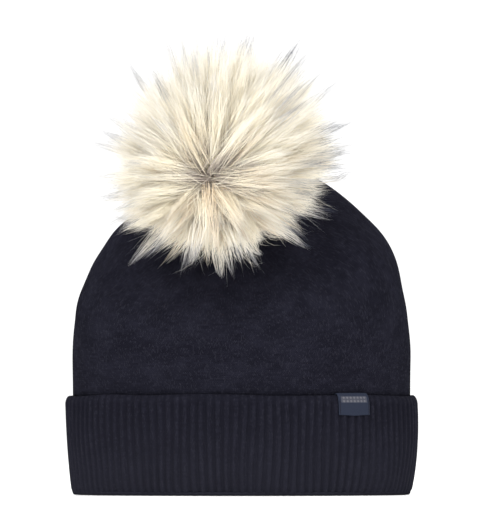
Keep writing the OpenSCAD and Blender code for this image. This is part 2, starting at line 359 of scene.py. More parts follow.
class Paint:
    """A node material under construction: short calls that add nodes and return their outputs."""

    def __init__(self, name, roughness=0.8, metallic=0.0, specular=0.3):
        self.material = bpy.data.materials.new(name)
        self.material.use_nodes = True
        self.tree = self.material.node_tree
        self.shader = self.tree.nodes["Principled BSDF"].inputs
        self.put(roughness, self.shader["Roughness"])
        self.put(metallic, self.shader["Metallic"])
        self.put(specular, self.shader["Specular IOR Level"])

    def put(self, value, socket):
        """Link a wire to the socket, or set the socket to a number or a colour."""
        if isinstance(value, Wire):
            self.tree.links.new(value.socket, socket)
        else:
            socket.default_value = (*value, 1.0) if isinstance(value, tuple) else value

    def node(self, kind, inputs=(), output=0, **settings):
        made = self.tree.nodes.new(kind)
        for key, value in settings.items():
            setattr(made, key, value)
        for key, value in dict(inputs).items():
            self.put(value, made.inputs[key])
        return Wire(self, made.outputs[output])

    def math(self, operation, *values):
        return self.node("ShaderNodeMath", enumerate(values), operation=operation)

    def axis(self, vector, number):
        return self.node("ShaderNodeSeparateXYZ", {0: vector}, number)

    def uv(self, layer):
        flat = self.node("ShaderNodeUVMap", uv_map=layer)
        return self.axis(flat, 0), self.axis(flat, 1)

    def vector(self, x, y):
        return self.node("ShaderNodeCombineXYZ", {0: x, 1: y})

    def place(self):
        return self.node("ShaderNodeTexCoord", output="Object")

    def noise(self, vector, scale=1.0, detail=3.0):
        inputs = {"Vector": vector, "Scale": scale, "Detail": detail}
        return self.node("ShaderNodeTexNoise", inputs, "Fac")

    def speckle(self, vector):
        inputs = {"Vector": vector}
        return self.node("ShaderNodeTexWhiteNoise", inputs, "Value", noise_dimensions="3D")

    def ramp(self, value, low, high):
        """value from low..high mapped smoothly to 0..1."""
        inputs = {"Value": value, "From Min": low, "From Max": high}
        return self.node("ShaderNodeMapRange", inputs, interpolation_type="SMOOTHSTEP")

    def mix(self, share, a, b):
        return self.node("ShaderNodeMix", {0: share, 6: a, 7: b}, 2, data_type="RGBA")

    def colour(self, value):
        self.put(value, self.shader["Base Color"])

    def bump(self, height, distance, strength=1.0):
        inputs = {"Height": height, "Distance": distance, "Strength": strength}
        self.put(self.node("ShaderNodeBump", inputs), self.shader["Normal"])


NAVY_DARK = (0.0074, 0.0074, 0.0120)
NAVY = (0.0140, 0.0140, 0.0222)
NAVY_LIGHT = (0.028, 0.028, 0.039)


def knit_paint(name, wales_per_rib=0):
    """Plain knit: rows of V-shaped stitches in melange yarn, with painted shade in each stitch's low
    parts.
    With ribs, painted shade darkens the purl wales in the grooves, and painted light from below makes
    the knit paler towards the fold."""
    paint = Paint(name, roughness=1.0, specular=0.02)
    u, v = paint.uv("knit")
    across = abs(u.fract() - 0.5) * 2
    lifted = v - across * 0.7
    leg = (lifted.fract() * math.pi).sine()
    cheek = (across * math.pi).sine()
    height = leg * (cheek * 0.6 + 0.4)
    stitch = paint.speckle(paint.vector((u * 2).floor(), lifted.floor()))
    yarn = paint.noise(paint.vector(u * 0.12, lifted.floor()), detail=2.0)
    cloud = paint.noise(paint.vector(u * 0.06, v * 0.09))
    cloudy = 0.35 if wales_per_rib else 0.7
    tone = yarn * 0.9 + (cloud - 0.5) * cloudy
    ground = paint.mix(paint.ramp(tone, 0.25, 0.75), NAVY_DARK, NAVY)
    ground = paint.mix(paint.ramp(stitch, 0.70, 1.0) * 0.45, ground, NAVY_LIGHT)
    if wales_per_rib:
        # Painted shade: the purl wales in the grooves, away from each rib's ridge, are darkened towards
        # NAVY_DARK.
        off_ridge = abs((u / wales_per_rib).fract() - RIDGE)
        ground = paint.mix(paint.ramp(off_ridge, 0.20, 0.40) * 0.75, ground, NAVY_DARK)
        # Painted light from below: the ribbing is made paler towards its bottom, near the fold and the
        # floor.
        painted_floor_light = paint.ramp(paint.axis(paint.place(), 2), CUFF_H, 0.0)
        ground = paint.mix(painted_floor_light * 0.34 + 0.04, ground, NAVY_LIGHT)
    # Painted shade: where a stitch's height is low, between its legs, the colour is darkened towards
    # NAVY_DARK.
    paint.colour(paint.mix(height * -0.35 + 0.35, ground, NAVY_DARK))
    fuzz = paint.noise(paint.vector(u * 3, v * 3))
    paint.bump(fuzz * 0.35 + height, 0.35 * MM, 0.7)
    return paint.material


def yarn_paint(name, dark, light):
    """Spun yarn: fibre streaks along a twisted strand."""
    paint = Paint(name, roughness=0.95, specular=0.05)
    u, v = paint.uv("OFBake")
    fibre = paint.noise(paint.vector(u * 9, v * 160), detail=4.0)
    paint.colour(paint.mix(paint.ramp(fibre, 0.3, 0.7), dark, light))
    paint.bump(fibre, 0.15 * MM, 0.6)
    return paint.material


def cloth_paint(name, dark, light, threads, roughness=0.85, specular=0.15):
    """A plain weave of the given threads over the bake layer's width and height."""
    paint = Paint(name, roughness=roughness, specular=specular)
    u, v = paint.uv("OFBake")
    warp, weft = u * threads[0], v * threads[1]
    checker = (warp * TAU).sine() * (weft * TAU).sine() * 0.5 + 0.5
    grain = paint.noise(paint.vector(warp, weft), 0.7)
    paint.colour(paint.mix(grain * 0.6 + checker * 0.4, dark, light))
    paint.bump(checker, 0.08 * MM, 0.6)
    return paint.material


LABEL_BAND = (0.28, 0.43)
LABEL_GROUND = ((0.0142, 0.0178, 0.0305), (0.0245, 0.0295, 0.0470))
LABEL_MOTIF = (0.105, 0.105, 0.120)


def label_paint():
    """Damask label: a plain blue ground, and a paler band of small diamonds near the fold."""
    paint = Paint("label_weave", roughness=0.9, specular=0.05)
    low, high = LABEL_BAND
    u, v = paint.uv("OFBake")
    across = (u * 9).then("PINGPONG", 0.5)
    along = ((v - low) * (2 / (high - low))).then("PINGPONG", 0.5)
    diamond = paint.ramp(across + along, 0.55, 0.68)
    band = paint.ramp(v, low, low + 0.01) * paint.ramp(v, high, high - 0.01)
    edge = paint.ramp(abs(u - 0.5), 0.42, 0.41)
    motif = band * edge * (diamond * 0.62 + 0.38)
    weave = (u * (64 * TAU)).sine() * 0.25 + (v * (92 * TAU)).sine() * 0.25 + 0.5
    paint.colour(paint.mix(motif, paint.mix(weave, *LABEL_GROUND), LABEL_MOTIF))
    paint.bump(weave + motif * 0.8, 0.1 * MM, 0.7)
    return paint.material


ROOT_STEPS = 8
TONE_STEPS = 14
GUARD_COLUMNS = 16
PLAIN_COLUMNS = ROOT_STEPS * TONE_STEPS
FUR_COLUMNS = PLAIN_COLUMNS + GUARD_COLUMNS
FUR_WHITE, FUR_CREAM, FUR_TAN = (0.97, 0.95, 0.89), (0.97, 0.90, 0.73), (0.80, 0.66, 0.48)
FUR_GREY, FUR_TIP = (0.60, 0.54, 0.46), (0.93, 0.915, 0.875)
TAUPE_DARK, TAUPE_LIGHT = (0.37, 0.315, 0.275), (0.56, 0.49, 0.43)
GUARD_CREAM, GUARD_WHITE, GUARD_SLATE = (0.84, 0.79, 0.69), (0.88, 0.86, 0.83), (0.055, 0.06, 0.085)
GUARD_ROOT = (0.2, 0.2, 0.2)


def fur_paint():
    """Fur by strand column and by length from root to tip: taupe roots, cream, pale or slate tips.
    Columns run through tones from white to tan, each with several lengths of root colour; the
    last columns are guard hairs, from white to slate tipped."""
    paint = Paint("fur", roughness=0.7, specular=0.12)
    u, v = paint.uv("OFBake")
    column = (u * FUR_COLUMNS).floor()
    chance = paint.speckle(paint.vector(column, 1.0))
    tone = column / ROOT_STEPS
    warmth = tone.floor() / (TONE_STEPS - 1)
    guard = column.then("GREATER_THAN", PLAIN_COLUMNS - 0.5)
    cream = paint.mix(paint.ramp(warmth, 0.0, 0.5), FUR_WHITE, FUR_CREAM)
    cream = paint.mix(paint.ramp(warmth, 0.60, 1.0), cream, FUR_TAN)
    cream = paint.mix(chance * 0.06, cream, FUR_GREY)
    cream = paint.mix(guard, cream, GUARD_CREAM)
    root_end = paint.mix(guard, tone.fract() * 0.62 + 0.08, GUARD_ROOT)
    rooted = paint.ramp(v, root_end + 0.16, root_end - 0.12)
    body = paint.mix(rooted, cream, paint.mix(chance, TAUPE_DARK, TAUPE_LIGHT))
    body = paint.mix(paint.ramp(v, 0.72, 1.0) * 0.6, body, FUR_TIP)
    slatiness = (column - PLAIN_COLUMNS) / (GUARD_COLUMNS - 1)
    slate = paint.mix(slatiness, GUARD_WHITE, GUARD_SLATE)
    paint.colour(paint.mix(guard * paint.ramp(v, 0.66, 0.88), body, slate))
    return paint.material


def metal_paint(name):
    """Nickel plate with fine turning marks and rubbed patches."""
    paint = Paint(name, metallic=1.0, specular=0.5)
    place = paint.place()
    scratch = paint.noise(place, 5200.0, 2.0)
    paint.colour(paint.mix(paint.noise(place, 900.0, 4.0), (0.42, 0.41, 0.40), (0.66, 0.65, 0.63)))
    paint.put(scratch * 0.25 + 0.18, paint.shader["Roughness"])
    paint.bump(scratch, 0.02 * MM, 0.4)
    return paint.material


def grain_paint(name, dark, light, scale, depth, roughness, specular=0.1):
    """A fine irregular grain: felt, moulded plastic or fibre fill, by scale and depth."""
    paint = Paint(name, roughness=roughness, specular=specular)
    place = paint.place()
    coarse, fine = paint.noise(place, scale, 5.0), paint.noise(place, scale * 6)
    paint.colour(paint.mix(fine * 0.5 + coarse * 0.5, dark, light))
    paint.bump(coarse + fine, depth, 0.8)
    return paint.material


jersey = knit_paint("jersey_knit")
ribbing = knit_paint("rib_knit", WALES_PER_RIB)
navy_yarn = yarn_paint("navy_yarn", NAVY_DARK, NAVY_LIGHT)
cream_yarn = yarn_paint("cream_yarn", (0.45, 0.38, 0.28), (0.75, 0.66, 0.52))
white_yarn = yarn_paint("white_yarn", (0.6, 0.6, 0.57), (0.8, 0.8, 0.78))
label_weave = label_paint()
satin = cloth_paint("satin", (0.66, 0.66, 0.63), (0.82, 0.82, 0.80), (120, 400), 0.45, 0.4)
backing_knit = cloth_paint("backing_knit", (0.40, 0.33, 0.26), (0.62, 0.53, 0.42), (150, 90))
fur = fur_paint()
nickel = metal_paint("nickel")
felt = grain_paint("felt", (0.06, 0.06, 0.075), (0.16, 0.16, 0.19), 700.0, 0.25 * MM, 0.95)
plastic = grain_paint(
    "moulded_plastic", (0.05, 0.05, 0.055), (0.08, 0.08, 0.085), 1500.0, 0.03 * MM, 0.45, 0.4
)
fibre_fill = grain_paint("fibre_fill", (0.70, 0.70, 0.68), (0.86, 0.86, 0.84), 250.0, 0.8 * MM, 0.95)


# ---- crown

PUCKERS = 26
CROWN_ROWS = 84
LINING_ROWS = 16
SEAM_TURN = math.pi / 2

# The cloth that fills the crown out: a coarse sheet, held at its first and last rows and the seam
SHEET_AROUND = 120
SHEET_ROWS = 32
HELD_ROWS, HELD_TIP_ROWS = 2, 4
SETTLE_FRAMES = 26
SETTLE_CAP = 1.5 * MM
SETTLE_GRAVITY = 0.02
KNIT_CLOTH = {
    "quality": 6,
    "mass": 0.12,
    "tension_stiffness": 15,
    "compression_stiffness": 15,
    "shear_stiffness": 1,
    "bending_stiffness": 0.4,
    "shrink_min": -0.02,
    "use_pressure": True,
    "uniform_pressure_force": 1.0,
    "vertex_group_mass": "pins",
}


def settled(rest, turns):
    """How far each point of the crown's sheet moves along its normal as the knit is filled out:
    held at the band, along the back seam and at the gathered tip, and a little slack between."""
    quads = grid_corners(*rest.shape[:2], True, False)[0]
    sheet = new_piece("sheet", rest, [quads], jersey)
    held = np.zeros(rest.shape[:2], bool)
    held[:, :HELD_ROWS] = held[:, -HELD_TIP_ROWS:] = True
    held[np.abs(turns - SEAM_TURN).argmin()] = True
    pins = sheet.vertex_groups.new(name="pins")
    pins.add(np.flatnonzero(held).tolist(), 1.0, "REPLACE")
    cloth = sheet.modifiers.new("cloth", "CLOTH")
    for key, value in KNIT_CLOTH.items():
        setattr(cloth.settings, key, value)
    cloth.settings.effector_weights.gravity = SETTLE_GRAVITY
    cloth.point_cache.frame_start, cloth.point_cache.frame_end = 1, SETTLE_FRAMES
    for step in range(1, SETTLE_FRAMES + 1):
        bpy.context.scene.frame_set(step)
    drawn = sheet.evaluated_get(bpy.context.evaluated_depsgraph_get()).data
    moved = np.empty(rest.size, np.float32)
    drawn.vertices.foreach_get("co", moved)
    bpy.context.scene.frame_set(1)
    bpy.data.meshes.remove(sheet.data)
    shift = ((moved.reshape(rest.shape) - rest) * grid_normals(rest)).sum(-1)
    return SETTLE_CAP * np.tanh(shift / SETTLE_CAP)


def resampled(field, across, rows, waves_kept=16, rows_blurred=1.3):
    """A field over the sheet, closed around, drawn softly on another grid."""
    parts = np.fft.rfft(field, axis=0)
    parts *= np.exp(-((np.arange(len(parts)) / waves_kept) ** 2))[:, None]
    wide = np.fft.irfft(parts, across, axis=0) * across / len(field)
    gap = np.linspace(0, 1, rows)[:, None] - np.linspace(0, 1, field.shape[1])[None]
    near = np.exp(-((gap * field.shape[1] / rows_blurred) ** 2))
    return wide @ (near / near.sum(1, keepdims=True)).T


def crown_last():
    """The crown's t at the edge of the hole that it is gathered round."""
    return math.acos((TIP_HOLE_R / TIP_W) ** (FULLNESS / 2))


def bend_with_tip(piece):
    """The piece's transform is baked into its mesh; nothing ties it to the tip."""
    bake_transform(piece)


def crown():
    """The jersey crown: wales from the cuff to the gathered tip, soft and slightly uneven."""
    last = crown_last()
    loose_turns = even_turns(SHEET_AROUND, HALF_W)
    sheet = crown_point(np.linspace(0, last, SHEET_ROWS)[None], loose_turns[:, None], 0.0)
    slack = settled(sheet, loose_turns)
    across = WALES * 2
    turns = even_turns(across, HALF_W)[:, None]
    t = np.linspace(0, last, CROWN_ROWS)[None]
    outer = crown_point(t, turns, 0.0)
    wale = np.cos(np.arange(across) * math.pi)[:, None]
    near_tip = smooth((t / last - 0.62) / 0.38) ** 2
    pucker = np.cos(turns * PUCKERS + 1.5 * np.sin(turns * 3)) * near_tip
    uneven = 0.25 * waves(outer, 11, 60 * MM) + 0.20 * waves(outer, 12, 24 * MM)
    near_shoulder = np.exp(-(((outer[..., 2] - 152 * MM) / (17 * MM)) ** 2))
    shoulder = 2.2 * near_shoulder * np.clip(np.cos(turns), 0, 1) ** 2
    lift = wale * 0.08 * (1 - near_tip) + uneven * smooth(t / 0.25) + (pucker - 0.8 * near_tip) * 0.9
    lift = (lift + shoulder) * MM + resampled(slack, across, CROWN_ROWS)
    outer = outer + grid_normals(outer) * lift[..., None]
    inner = crown_point(np.linspace(0, last, LINING_ROWS)[None], turns, JERSEY_T)
    inner = inner + grid_normals(inner) * resampled(slack, across, LINING_ROWS)[..., None]
    points = np.concatenate([outer, inner[:, ::-1]], 1)
    courses = course_numbers(points[across // 2], JERSEY_T)
    piece = shell("crown", points, jersey, (WALES, courses))
    bend_with_tip(piece)
    stand_in(piece, "jersey", "crown_shell")


# ---- ribbing


def rib_relief(rib):
    """Depth below the ridge, 0 to 1, at a position counted in ribs."""
    ridge = np.cos(TAU * (rib - RIDGE)) + 0.15
    plateau = np.tanh(1.9 * ridge) / math.tanh(1.9 * 1.15)
    groove = 0.10 * np.exp(-(((rib % 1) - RIDGE) / 0.05) ** 2)
    return np.clip((1 - plateau) / 2 * 1.05 + groove, 0, 1.1)


def ribbed_shell(profile, relief, per_rib):
    """Points of a ring of ribbing, and its knit gauge. profile rows are a half-width offset, the
    half-width's own function of (z, turn), a height, and the relief's pull on width and height."""
    across = RIBS * per_rib
    turns = even_turns(across, HALF_W)[:, None]
    offsets, half_widths, heights, pulls_w, pulls_z = zip(*profile)
    offset, height, pull_w, pull_z = np.array([offsets, heights, pulls_w, pulls_z])
    w = offset + np.concatenate([of(z, turns) + 0 * turns for of, z in zip(half_widths, heights)], 1)
    wander = 0.14 * waves(oval(w, turns, height), 21, 40 * MM)
    depth = rib_relief(np.arange(across)[:, None] / per_rib + wander) * relief * MM
    points = oval(w + depth * pull_w, turns, height + depth * pull_z)
    return points, (RIBS * WALES_PER_RIB, course_numbers(points[across // 2], RIB_T))


def turn_with_cuff(piece):
    """The piece's transform is baked into its mesh; nothing ties it to the cuff."""
    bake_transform(piece)


def cuff():
    """The turned-up ply with its bound edge, in one skin that bends from the hat to the edge."""
    edge = CUFF_H
    rows = []
    for w, z in ((-2.1, 0.15), (-1.1, 0.25), (-0.3, 1.0), (0.0, 2.2)):
        rows.append((w * MM, lambda _, turn: cuff_out(0, turn), z * MM, -0.8, 0.25))
    for z in np.linspace(4 * MM, edge - 6.5 * MM, 38):
        rows.append((0.0, cuff_out, z, -1.0, 0.0))
    bound_edge = ((-0.05, -5.2, 0.7), (-0.2, -4.2, 0.5), (-0.5, -3.0, 0.4), (-0.95, -1.8, 0.35),
                  (-1.6, -0.8, 0.35), (-2.4, -0.2, 0.35), (-3.0, -0.1, 0.25), (-3.35, -0.7, 0.1),
                  (-3.5, -1.6, 0.1))
    for w, z, sink in bound_edge:
        rows.append((w * MM, cuff_out, edge + z * MM, -sink, 0.0))
    for z in np.linspace(edge - 5 * MM, 3.6 * MM, 8):
        rows.append((0.1 * MM - RIB_T, cuff_out, z, 0.0, 0.0))
    points, knit = ribbed_shell(rows, 1.25, 12)
    height = points[..., 2].copy()
    high = smooth((height - edge + 14 * MM) / (14 * MM))
    low = smooth(1 - height / (16 * MM))
    sway = waves(points * (1, 1, 0), 31, 55 * MM)
    sides = np.clip(np.abs(points[..., 0]) / HALF_W, 0, 1) ** 6
    arch = (1.3 + 0.3 * sway) * (1 - sides) * low - 0.8 * sides * high
    points[..., 2] += (sway * 0.35 * high + arch) * MM
    soft = waves(points, 32, 45 * MM) * 0.35 * MM
    points[..., :2] *= (1 + soft / HALF_W)[..., None]
    piece = shell("cuff", points, ribbing, knit)
    turn_with_cuff(piece)
    stand_in(piece, "ribbing", "cuff_ply", "cuff_hem")


def inner_band():
    """The ply inside the cuff and the fold the hat stands on."""

    def foot(_z, _turn):
        return band_out(0)

    def ply(z, _turn):
        return band_out(z)

    rows = [(1.6 * MM - RIB_T, foot, 0.4 * MM, 0.0, 0.15), (1.5 * MM, foot, 0.3 * MM, 0.0, 0.15),
            (2.4 * MM, foot, 0.8 * MM, 0.0, 0.1), (2.8 * MM, foot, 1.6 * MM, 0.0, 0.0),
            (2.6 * MM, foot, 2.6 * MM, 0.0, 0.0), (0.4 * MM, foot, 2.9 * MM, 0.0, 0.0)]
    for z in np.linspace(4 * MM, BAND_TOP, 14):
        rows.append((0.0, ply, z, -0.6, 0.0))
    for z in np.linspace(BAND_TOP, 3 * MM, 26):
        rows.append((0.5 * MM - RIB_T, ply, z, 0.7, 0.0))
    rows.append((0.5 * MM - RIB_T, foot, 1.3 * MM, 0.4, 0.2))
    points, knit = ribbed_shell(rows, 1.0, 8)
    piece = shell("inner_band", points, ribbing, knit)
    stand_in(piece, "ribbing", "rib_band", rides="hat")


# ---- labels and thread


LABEL_TURN = -math.radians(50.5)
LABEL_HALF_W = 10.7 * MM
LABEL_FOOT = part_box("woven_label")[0].z + 1.0 * MM
LABEL_STITCHES = 5


def stitches(name, paths, radius, material):
    """Short threads along the paths, as one piece."""
    threads = [tube("thread", path, radius, material, closed=False, twist=2) for path in paths]
    return joined(name, threads)


def ribbon(name, centre_line, thickness, widths, across, material):
    """A flat strip with thickness. centre_line(u, k) gives points for u across and station k;
    widths is the count of stations."""
    u = np.linspace(-1, 1, across)
    mid = centre_line(u[None], np.arange(widths)[:, None])
    along = np.gradient(mid, axis=0)
    side = np.gradient(mid, axis=1)
    normal = unit(np.cross(side, along))
    rim = 1 - 0.55 * (np.abs(u) ** 10)[None, :, None]
    face = mid + normal * thickness / 2 * rim
    back = mid - normal * thickness / 2 * rim
    points = np.concatenate([face, back[:, ::-1]], 1)
    count = across * 2
    quads, row, column = grid_corners(widths, count, False, True)
    shown = np.where(column % count < across, column % count, 2 * across - 1 - column % count)
    length = runs(mid[:, across // 2])
    uv = np.stack([shown / (across - 1), (length / length[-1])[row]], -1)
    j = np.arange(across - 1)
    cap = np.stack([j, j + 1, count - 2 - j, count - 1 - j], -1)
    ends = np.concatenate([cap, cap[:, ::-1] + (widths - 1) * count])
    end_v = np.repeat([0.0, 1.0], 4 * len(j))
    end_uv = np.stack([np.tile(np.repeat(j / (across - 1), 4), 2), end_v], -1)
    layers = [("OFBake", np.concatenate([uv.reshape(-1, 2), end_uv]))]
    return new_piece(name, points, [quads, ends], material, layers)


def woven_label():
    """The label folded over the cuff's edge: front leaf, fold and back leaf."""
    middle, foot = LABEL_TURN, LABEL_FOOT
    round_r = math.hypot(HALF_W * math.sin(middle), (HALF_W - OVAL_STEP) * math.cos(middle))
    spread = LABEL_HALF_W / round_r
    front = [(cuff_out(z, middle) + 0.45 * MM, z) for z in np.linspace(foot, CUFF_H - 5 * MM, 22)]
    top = cuff_out(CUFF_H, middle)
    over_edge = ((0.4, -3.6), (0.15, -2.4), (-0.25, -1.3), (-0.9, -0.3), (-1.6, 0.4), (-2.4, 0.8),
                 (-3.2, 0.75), (-3.7, 0.2), (-3.85, -0.8))
    fold = [(top + w * MM, CUFF_H + z * MM) for w, z in over_edge]
    back = [(top - 3.8 * MM, z) for z in np.linspace(CUFF_H - 2 * MM, foot + 1.5 * MM, 14)]
    line = np.array(front + fold + back)

    def centre(u, k):
        w, z = line[k, 0], line[k, 1]
        sag = 0.25 * MM * np.cos(u * math.pi) * np.exp(-((z - foot) / (3 * MM)) ** 2)
        return oval(w, middle + u * spread, z - sag)

    piece = ribbon("label", centre, 0.45 * MM, len(line), 30, label_weave)
    turn_with_cuff(piece)
    stand_in(piece, "woven_label", "woven_label")
    paths = []
    for side in (-1, 1):
        for i in range(LABEL_STITCHES):
            z = foot + (0.9 + i * 1.7) * MM
            w = cuff_out(z, middle) + 0.85 * MM
            u = middle + side * spread * 0.93
            paths.append([oval(w - 0.25 * MM * abs(k - 3) / 3, u, z + k * 0.24 * MM) for k in range(7)])
    piece = stitches("label_thread", paths, 0.22 * MM, navy_yarn)
    turn_with_cuff(piece)
    stand_in(piece, "yarn", "label_stitches")


def care_label():
    """A blank satin loop at the back seam."""
    top, length = care_high.z, care_high.z - care_low.z
    foot = top - length + 1 * MM
    front, depth = care_low.y + 0.15 * MM, care_high.y - care_low.y - 0.3 * MM
    down = [(front, z) for z in np.linspace(top, foot, 26)]
    turn = [(front + depth * (0.5 - 0.5 * math.cos(a)), foot - 0.8 * MM * math.sin(a))
            for a in np.linspace(0.3, 2.84, 7)]
    up = [(front + depth, z) for z in np.linspace(foot, top, 26)]
    line = np.array(down + turn + up)
    half = (care_high.x - care_low.x) / 2

    def centre(u, k):
        y, z = line[k, 0], line[k, 1]
        curl = 0.5 * MM * np.sin((z - top) / length * 3.0) * u * (1 - 0.3 * u)
        y, z, x = np.broadcast_arrays(y - np.abs(curl), z, u * half)
        return np.stack([x, y, z], -1)

    piece = ribbon("care_tag", centre, 0.25 * MM, len(line), 24, satin)
    stand_in(piece, "satin", "care_label", rides="care_label")
    low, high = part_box("care_label_stitches")
    y, z = (low.y + high.y) / 2, (low.z + high.z) / 2
    paths = []
    for x in np.linspace(low.x, high.x - 2.4 * MM, 6):
        paths.append([(x + k * 0.4 * MM, y, z - 0.2 * MM * abs(k - 3) / 3) for k in range(7)])
    piece = stitches("care_tag_thread", paths, 0.28 * MM, white_yarn)
    stand_in(piece, "satin", "care_label_stitches", rides="hat")


def seams():
    """The linking course and the back seam's two rows of stitches."""
    low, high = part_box("linking_yarn")
    path = oval((high.x - low.x) / 2 - 1.1 * MM, even_turns(900, HALF_W), (low.z + high.z) / 2)
    piece = tube("linking_course", path, 1.9 * MM, navy_yarn)
    stand_in(piece, "yarn", "linking_yarn", rides="hat")
    t = np.linspace(0.03, 1.38, 160)
    lanes = []
    for lane in (-1, 1):
        path = crown_point(t, SEAM_TURN + lane * 0.016, JERSEY_T + 1.5 * MM)
        lanes.append(tube("lane", path, 0.75 * MM, navy_yarn, closed=False, bite=0.35, plies=3))
    piece = joined("back_seam_stitches", lanes)
    bend_with_tip(piece)
    stand_in(piece, "yarn", "back_seam")


def cords():
    """The crown's gathering cord and the fur's drawstring, rings round the pom's axis."""
    for name, node, body, paint, slot, ring_r, r in (
        ("gathering_cord", "gather_cord", "crown_gather", navy_yarn, "yarn", 16 * MM, 1.1 * MM),
        ("fur_drawstring", "drawstring", "pom", cream_yarn, "backing", 9.6 * MM, 0.8 * MM),
    ):
        low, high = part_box(node)
        ring = np.array((low + high) / 2) + ring_r * spokes(np.arange(240) / 240 * TAU)
        piece = tube(name, ring, r, paint)
        stand_in(piece, slot, node, rides=body)


# ---- crown tip


def turned(name, profile, material, steps=96, relief=None):
    """A solid of revolution about the pom's axis. profile rows are radius and height from the
    crown's tip, from the axis round and back to it; relief(angle, radius, height) moves points."""
    angle = np.arange(steps)[:, None] / steps * TAU
    r, h = np.array(profile).T[:, None] + 0 * angle
    if relief is not None:
        r, h = relief(angle, r, h)
    points = TIP + spokes(angle) * r[..., None] + POM_AXIS * h[..., None]
    quads, row, column = grid_corners(steps, len(profile), True, False)
    uv = np.stack([row / steps, column / (len(profile) - 1)], -1)
    layers = [("OFBake", uv), ("knit", uv * (60, 30))]
    return new_piece(name, points, [quads], material, layers)


def crown_tip():
    """The gathered knit under the snap, the ruffle around it and the felt inside."""

    def gathers(angle, r, h):
        share = smooth((r - 7.6 * MM) / (5 * MM))
        return r, h - share * 0.5 * MM * (1 + np.cos(angle * 18 + np.sin(angle * 2)))

    top = [(r * MM, -0.05 * MM) for r in np.linspace(0.02, 12.6, 18)]
    rim = [(13.0 * MM, -0.4 * MM), (13.2 * MM, -1.5 * MM), (13.0 * MM, -2.6 * MM)]
    foot = [(r * MM, -3.0 * MM) for r in np.linspace(12.5, 0.02, 8)]
    piece = turned("crown_tip_knit", top + rim + foot, jersey, relief=gathers)
    stand_in(piece, "jersey", "crown_tip", rides="crown_tip")

    def ruffled(angle, r, h):
        fold = np.cos(angle * PUCKERS / 2 + 1.2 * np.sin(angle * 3))
        return r * (1 + 0.045 * fold), h * (1 + 0.35 * fold) - 0.4 * MM

    a = np.linspace(0, TAU, 25)
    ring = [((16.5 + 4.4 * math.cos(x)) * MM, (0.4 + 2.0 * math.sin(x)) * MM) for x in a]
    piece = turned("crown_ruffle", ring, jersey, steps=240, relief=ruffled)
    bend_with_tip(piece)

    def pressed(angle, r, h):
        return r + 0.12 * MM * np.cos(angle * 23) * (r > 10 * MM), h

    top = [(r * MM, -3.25 * MM) for r in np.linspace(0.02, 10.6, 8)]
    rim = [(10.95 * MM, -3.6 * MM), (10.95 * MM, -4.8 * MM)]
    foot = [(r * MM, -5.15 * MM) for r in np.linspace(10.6, 0.02, 8)]
    piece = turned("felt_disc", top + rim + foot, felt, relief=pressed)
    stand_in(piece, "felt", "felt_washer", rides="crown_tip")


# ---- pom

# The point on the ball that the fur is combed away from, and how far it is laid over there
WHORL = unit(np.array([-0.13, -1.0, -0.03]))
SPLAY = math.radians(46)
FUR_PIECES = 9
TUFTS = 1050
GUARD_TUFTS = 210
SEGMENTS = 7
# The highest that tufts aim and that any strand reaches
TUFT_TOP, FUR_TOP = 287 * MM, 290.5 * MM
# Where fur lies on the knit: its height above the tip in mm, close in and further out
LIE_NEAR, LIE_FAR = 3.0, 7.5
# Directions, in degrees, of the dark streaks that run out from the whorl
STREAKS = (14, 50, 92, 127, 150, 183, 285, 343)
STREAK_WIDTH = 11


def pom_ball():
    """The fur's backing, gathered at its mouth, and the fill inside."""
    centre_h = float((BALL - TIP) @ POM_AXIS)
    mouth = math.asin(8 * MM / BALL_R)
    angles = np.linspace(math.pi - mouth, 0.02, 44)
    outer = round_line(BALL_R, centre_h, angles)
    inner = round_line(BALL_R - 1.2 * MM, centre_h, angles[::-1])

    def gathered(angle, r, h):
        low = smooth(1 - (h - h.min()) / (16 * MM))
        return r * (1 + 0.03 * low * np.cos(angle * 22)), h

    piece = turned("fur_base_ball", outer + inner + outer[:1], backing_knit, relief=gathered)
    stand_in(piece, "backing", "fur_backing", rides="pom")

    def lumpy(angle, r, h):
        rough = np.cos(angle * 5 + h / MM * 0.3) * np.cos(h / MM * 0.25 + 2 * np.cos(angle))
        lump = 1 - 0.03 * (1 + rough)
        return (r + 0.01 * MM) * lump, centre_h + (h - centre_h) * lump

    fill = round_line(BALL_R - 2.0 * MM, centre_h, np.linspace(math.pi, 0, 40))
    piece = turned("fibre_ball", fill, fibre_fill, relief=lumpy)
    stand_in(piece, "stuffing", "pom_stuffing", rides="pom")


def fur_reach(way):
    """How far the dense fur reaches from the ball's centre: longest up and to the right."""
    x, z = way[..., 0], way[..., 2]
    crest, lap = 13 * np.maximum(z, 0) ** 10, 10 * np.maximum(-z, 0) ** 2
    return (70.5 + 2.5 * x + 13.5 * z + 11 * x * z + crest - lap) * MM


def combed(roots):
    """Directions of the tips for roots given as unit vectors: combed away from the whorl."""
    facing = np.clip(roots @ WHORL, -1, 1)
    angle = np.arccos(facing)
    away = unit(roots - facing[..., None] * WHORL)
    angle = angle + SPLAY * np.exp(-angle / math.radians(42))
    return np.cos(angle)[..., None] * WHORL + np.sin(angle)[..., None] * away


def above_knit(paths):
    """Points held off the knit around the tip, so that low fur lies down on it."""
    from_tip = paths + BALL - TIP
    height = from_tip @ POM_AXIS
    radius = np.linalg.norm(from_tip - height[..., None] * POM_AXIS, axis=-1)
    floor = (LIE_NEAR + (LIE_FAR - LIE_NEAR) * smooth((radius / MM - 8) / 14)) * MM
    pressed = floor - 1.6 * MM * (1 - np.exp(-np.maximum(floor - height, 0) / (9 * MM)))
    return paths + (np.where(height < floor, pressed, height) - height)[..., None] * POM_AXIS


